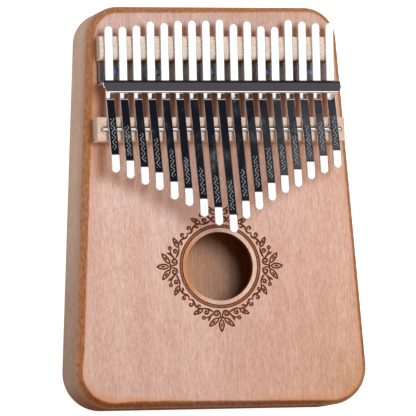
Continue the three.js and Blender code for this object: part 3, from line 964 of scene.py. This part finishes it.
def make_bracket():
    low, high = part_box("pressure_bracket")
    half = PLATE / 2
    corners = [Vector((high.y, FACE + half)), Vector((WEB_FOOT, FACE + half)),
               Vector((WEB_TOP, FACE + WEB_TOP_HEIGHT)), Vector((LIP, FACE + LIP_HEIGHT))]
    line = fillet(corners, BEND_REACH)
    left, right = ribbon(line, [PLATE] * len(line))
    along = (line[-1] - line[-2]).normalized()
    turn = math.degrees(math.atan2(-along.x, along.y))
    lip = arc(line[-1], half, turn, turn + 180, 8)[1:-1]
    section = right + lip + list(reversed(left))
    bracket = bar_along_x("pressure_bracket_strip", section, low.x, high.x, 0.15 * MM, BRACKET_CHROME)
    reach = 3 * PLATE
    for number in range(1, TINE_COUNT + 1):
        x = tine_x(number)
        near = Vector((x - WINDOW_WIDTH / 2, WEB_FOOT - reach, FACE + WINDOW_FLOOR))
        far = Vector((x + WINDOW_WIDTH / 2, WEB_TOP + reach, FACE + WINDOW_TOP))
        carve(bracket, box_mesh("window_cutter", near, far, BRACKET_CHROME))
    for side, outer in ((-1, low.x), (1, high.x)):
        centre = Vector((outer - side * LIP_CORNER_RADIUS, low.y + LIP_CORNER_RADIUS))
        outline = arc(centre, LIP_CORNER_RADIUS, -90, -90 + side * 90, 12)
        outline += [Vector((outer + side * MM, centre.y)), Vector((outer + side * MM, low.y - MM)),
                    Vector((centre.x, low.y - MM))]
        if side > 0:
            outline.reverse()
        corner = loft(loops_at(outline, FACE + WINDOW_TOP + MM, high.z + MM))
        carve(bracket, make_object("corner_cutter", *corner, BRACKET_CHROME))
    drill_screw_holes(bracket, FACE - MM, FACE + PLATE + MM, BRACKET_CHROME)
    bevel(bracket, 0.12 * MM)
    # Its end faces take the darker end metal, painted shade.
    bracket.data.materials.append(BRACKET_END)
    for polygon in bracket.data.polygons:
        beyond = max(low.x - polygon.center.x, polygon.center.x - high.x)
        if abs(polygon.normal.x) > 0.9 and beyond > -0.25 * MM:
            polygon.material_index = 1
    smooth(bracket, 30)
    place(bracket, "box", "chrome", "pressure_bracket")


# ---------------------------------------------------------------- screws
SHANK_RADIUS = 1.5 * MM
POINT_LENGTH = 2.5 * MM
POINT_RADIUS = 0.1 * MM
HEAD_EDGE = 0.1 * MM
DRIVE_SLOT = Vector((0.8, 0, 0.9)) * MM  # width and depth


def make_screw(name):
    """A pan-head screw with a straight slot."""
    low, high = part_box(name)
    axis = screw_axis(name)
    head = (high.x - low.x) / 2
    under_head = FACE + PLATE
    rise = high.z - under_head
    profile = [(POINT_RADIUS, low.z), (SHANK_RADIUS, low.z + POINT_LENGTH), (SHANK_RADIUS, under_head),
               (head - HEAD_EDGE, under_head), (head, under_head + HEAD_EDGE)]
    for k in range(9):
        dome = polar(1, 90 * k / 8)
        profile.append((head * (0.35 + 0.65 * dome.x), under_head + rise * (0.4 + 0.6 * dome.y)))
    screw = make_object(name + "_pan_head", *lathe(profile, 40, axis), SCREW_STEEL)
    near = Vector((axis.x - DRIVE_SLOT.x / 2, low.y - MM, high.z - DRIVE_SLOT.z))
    far = Vector((axis.x + DRIVE_SLOT.x / 2, high.y + MM, high.z + MM))
    carve(screw, box_mesh("slot_cutter", near, far, SCREW_STEEL))
    smooth(screw, 35)
    place(screw, "box", "steel", name)


# ---------------------------------------------------------------- tines
TINE_SLOPE = 0.24
TIP_SLOPE = 0.086
TIP_PART = 8.2 * MM
TINE_EDGE_RADIUS = 0.25 * MM
REAR_BEND_REACH = 2 * MM
TIP_BEND_REACH = 1 * MM
TINE_STEP = 3 * MM
WINDOW_CLEARANCE = 0.3 * MM


def tine_line(number):
    """The tine's middle line from rear end to tip, as (y, z) points, and where it crosses the rod."""
    _, anchor_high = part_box(f"tine_{number:02d}_anchor")
    blade_low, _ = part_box(f"tine_{number:02d}_blade")
    joint = next(j for j in frame["joints"] if j["name"] == f"tine_{number:02d}_flex")
    rod = Vector(joint["pos_m"][1:])
    bridge_low, bridge_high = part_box("rear_bridge")
    gap = WINDOW_CLEARANCE + TINE_THICKNESS / 2
    bridge = Vector(((bridge_low.y + bridge_high.y) / 2, bridge_high.z + gap))
    window = Vector((WEB_TOP, FACE + WINDOW_TOP - gap))
    rear_slope = (bridge.y - window.y) / (bridge.x - window.x)
    rear = Vector((anchor_high.y, bridge.y + rear_slope * (anchor_high.y - bridge.x)))
    bend_y = (window.y - rear_slope * window.x - rod.y - TINE_SLOPE * rod.x) / (-TINE_SLOPE - rear_slope)
    bend = Vector((bend_y, rod.y + TINE_SLOPE * (rod.x - bend_y)))
    tip_bend = Vector((blade_low.y + TIP_PART, rod.y + TINE_SLOPE * (rod.x - blade_low.y - TIP_PART)))
    tip = Vector((blade_low.y, tip_bend.y + TIP_SLOPE * TIP_PART))
    return [rear, bend, tip_bend, tip], rod


def resample(line, step):
    """Points along a line about every `step`, keeping the line's own corners."""
    out = [line[0]]
    for a, b in zip(line, line[1:]):
        pieces = max(1, round((b - a).length / step))
        out += [a.lerp(b, k / pieces) for k in range(1, pieces + 1)]
    return out


def make_tine(number):
    """One piece of flattened spring steel with round ends and soft edges."""
    corners, rod = tine_line(number)
    tip_bend = corners[2]
    soft = fillet(corners[:3], REAR_BEND_REACH, 6)[:-1]
    soft += fillet(corners[1:], TIP_BEND_REACH, 6)[1:]
    line = resample(soft, TINE_STEP)
    lengths = [0]
    for a, b in zip(line, line[1:]):
        lengths.append(lengths[-1] + (b - a).length)
    total = lengths[-1]

    def at(s):
        s = min(max(s, 0), total)
        i = max(k for k in range(len(lengths) - 1) if lengths[k] <= s)
        t = (s - lengths[i]) / (lengths[i + 1] - lengths[i])
        along = (line[i + 1] - line[i]).normalized()
        return line[i].lerp(line[i + 1], t), Vector((-along.y, along.x)) * -1

    radius = TINE_WIDTH / 2
    cap = 10
    half = TINE_THICKNESS / 2
    edge = TINE_EDGE_RADIUS
    levels = [(inset, -half + edge - rise) for inset, rise in reversed(quarter_round(edge, 4))]
    levels += [(inset, half - edge + rise) for inset, rise in quarter_round(edge, 4)]
    straight = [s for s in lengths if radius + 0.2 * MM < s < total - radius - 0.2 * MM]
    straight = [radius] + straight + [total - radius]
    x = tine_x(number)
    tip_bend_s = next(s for s, p in zip(lengths, line) if (p - tip_bend).length < 1.1 * MM)
    points, normals, loops_uv = [], [], []
    turns = [math.pi / 2 * (0.04 + 0.96 * k / cap) for k in range(cap)]
    for inset, height in levels:
        reach = radius - inset
        side = [(radius - reach * math.cos(a), reach * math.sin(a), -math.cos(a)) for a in turns]
        side += [(s, reach, 0) for s in straight]
        side += [(total - radius + reach * math.cos(a), reach * math.sin(a), math.cos(a))
                 for a in reversed(turns)]
        rise = math.copysign(max(0, abs(height) - half + edge) / edge, height)
        flat = math.sqrt(max(0, 1 - rise * rise))
        for s, across, ahead in side + [(s, -across, ahead) for s, across, ahead in reversed(side)]:
            centre, up = at(s)
            along = Vector((up.y, -up.x)) * -1
            point = centre + up * height
            points.append(Vector((x + across, point.x, point.y)))
            outward = math.copysign(math.sqrt(1 - ahead * ahead), across)
            lean = up * rise + along * (flat * ahead)
            normals.append(Vector((flat * outward, lean.x, lean.y)).normalized())
            loops_uv.append((s - tip_bend_s, across))
    count = 2 * len(side)
    faces = []
    for level in range(len(levels) - 1):
        for k in range(count):
            after = (k + 1) % count
            a, b = level * count + k, level * count + after
            faces.append([a, a + count, b + count, b])
    top = (len(levels) - 1) * count
    top_faces = []
    for k in range(len(side) - 1):
        far = count - 1 - k
        top_faces.append(len(faces) + 1)
        faces.append([k, k + 1, far - 1, far])
        faces.append([top + k, top + far, top + far - 1, top + k + 1])
    tine = make_object(f"tine_{number:02d}", points, faces, CHROME, TINE_TOP)
    for index in top_faces:
        tine.data.polygons[index].material_index = 1
    uv = tine.data.uv_layers.new(name="along_tine")
    for loop in tine.data.loops:
        s, across = loops_uv[loop.vertex_index]
        uv.data[loop.index].uv = (s / MM, across / MM)
    tine.data.shade_smooth()
    tine.data.normals_split_custom_set_from_vertices(normals)
    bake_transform(tine)
    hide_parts(f"tine_{number:02d}_anchor", f"tine_{number:02d}_blade")


# ---------------------------------------------------------------- studio
STRIP_LIGHT = 1.25
WARM_FILL = (0.36, 0.155, 0.045, 1)
SIDE_LIGHT = (0.15, 0.09, 0.05, 1)
LEFT_CARD = 1.5
KEY_POWER = 15.6
KEY_SIZE = 0.45
KEY_COLOUR = (0.75, 0.89, 0.965)
KEY_PLACE = (0.16, 0.16, 1.2)
FLOOR_GLOW = 0.95
FLOOR_HALF = 3.0
FLOOR_HEIGHT = -0.3 * MM  # just clear of the underside
BLACK_FLAG = (0.010, 0.011, 0.017, 1)


def make_floor():
    """A pale light table, so that the shadow beside the box stays faint."""
    corners = [(x * FLOOR_HALF, y * FLOOR_HALF, FLOOR_HEIGHT)
               for x, y in ((-1, -1), (1, -1), (1, 1), (-1, 1))]
    material, _, shader = new_material("floor")
    shader.inputs["Base Color"].default_value = (0.5, 0.5, 0.5, 1)
    shader.inputs["Roughness"].default_value = 0.8
    shader.inputs["Specular IOR Level"].default_value = 0.1
    shader.inputs["Emission Color"].default_value = (1, 1, 1, 1)
    shader.inputs["Emission Strength"].default_value = FLOOR_GLOW
    floor = make_object("floor", corners, [[0, 1, 2, 3]], material)


def make_world():
    """A white strip from overhead down to the front, dim sides, and a dark flag above the rear.
    The level ends of the tines mirror the strip, and their sloping blades mirror the flag."""
    world = bpy.data.worlds.new("studio")
    bpy.context.scene.world = world
    world.use_nodes = True
    tree = world.node_tree
    background = tree.nodes["Background"]
    x, y, z = split(add(tree, "ShaderNodeTexCoord", output="Generated"))
    rearward = y / z.math("MAXIMUM", 0.01)
    strip = rearward.ramp(0.44, 0.36) * abs(x - 0.25).ramp(0.34, 0.2) * rearward.ramp(-0.9, -0.6)
    shade = mix(strip, SIDE_LIGHT, (*3 * [STRIP_LIGHT], 1))
    card = x.ramp(-0.5, -0.7) * z.ramp(0.42, 0.34)
    white_card = (*3 * [LEFT_CARD], 1)
    shade = mix(card, shade, white_card)
    shade = mix(rearward.ramp(0.40, 0.50), shade, BLACK_FLAG)
    patch = x.ramp(0.2893, 0.2918) * rearward.ramp(0.6595, 0.6548) * rearward.ramp(0.5, 0.52)
    shade = mix(patch, shade, (0.095, 0.088, 0.095, 1))
    shade = mix(rearward.ramp(0.72, 1.0), shade, (0.088, 0.078, 0.087, 1))
    shade = mix(z.ramp(0.04, 0.02) * y.ramp(0.6, 0.3), shade, (0.8, 0.8, 0.8, 1))
    soft = add(tree, "ShaderNodeLightPath", output="Is Diffuse Ray")
    feed(background.inputs["Color"], mix(soft, shade, mix(card, WARM_FILL, white_card)))
    background.inputs["Strength"].default_value = 1.0


def make_key_light():
    """The key is a wide soft light overhead. Metal doesn't mirror it: it mirrors the white strip."""
    light = bpy.data.lights.new("key", "AREA")
    light.shape = "SQUARE"
    light.size = KEY_SIZE
    light.energy = KEY_POWER
    light.color = KEY_COLOUR
    obj = bpy.data.objects.new("key", light)
    bpy.context.collection.objects.link(obj)
    obj.location = KEY_PLACE
    aim = Vector((0, 0, 0.03)) - obj.location
    obj.rotation_mode = "QUATERNION"
    obj.rotation_quaternion = aim.to_track_quat("-Z", "Y")
    obj.visible_glossy = False
    obj.visible_camera = False


make_soundboard()
make_rim()
make_back()
make_rear_bridge()
make_front_bridge()
make_rod()
make_bracket()
for screw_name in SCREW_NAMES:
    make_screw(screw_name)
for tine_number in range(1, TINE_COUNT + 1):
    make_tine(tine_number)
block_materials = frame["nodes"]["bridge_block"].data.materials
block_materials.clear()
block_materials.append(MAPLE)
make_floor()
make_world()
make_key_light()
bpy.context.scene.view_settings.view_transform = "Standard"
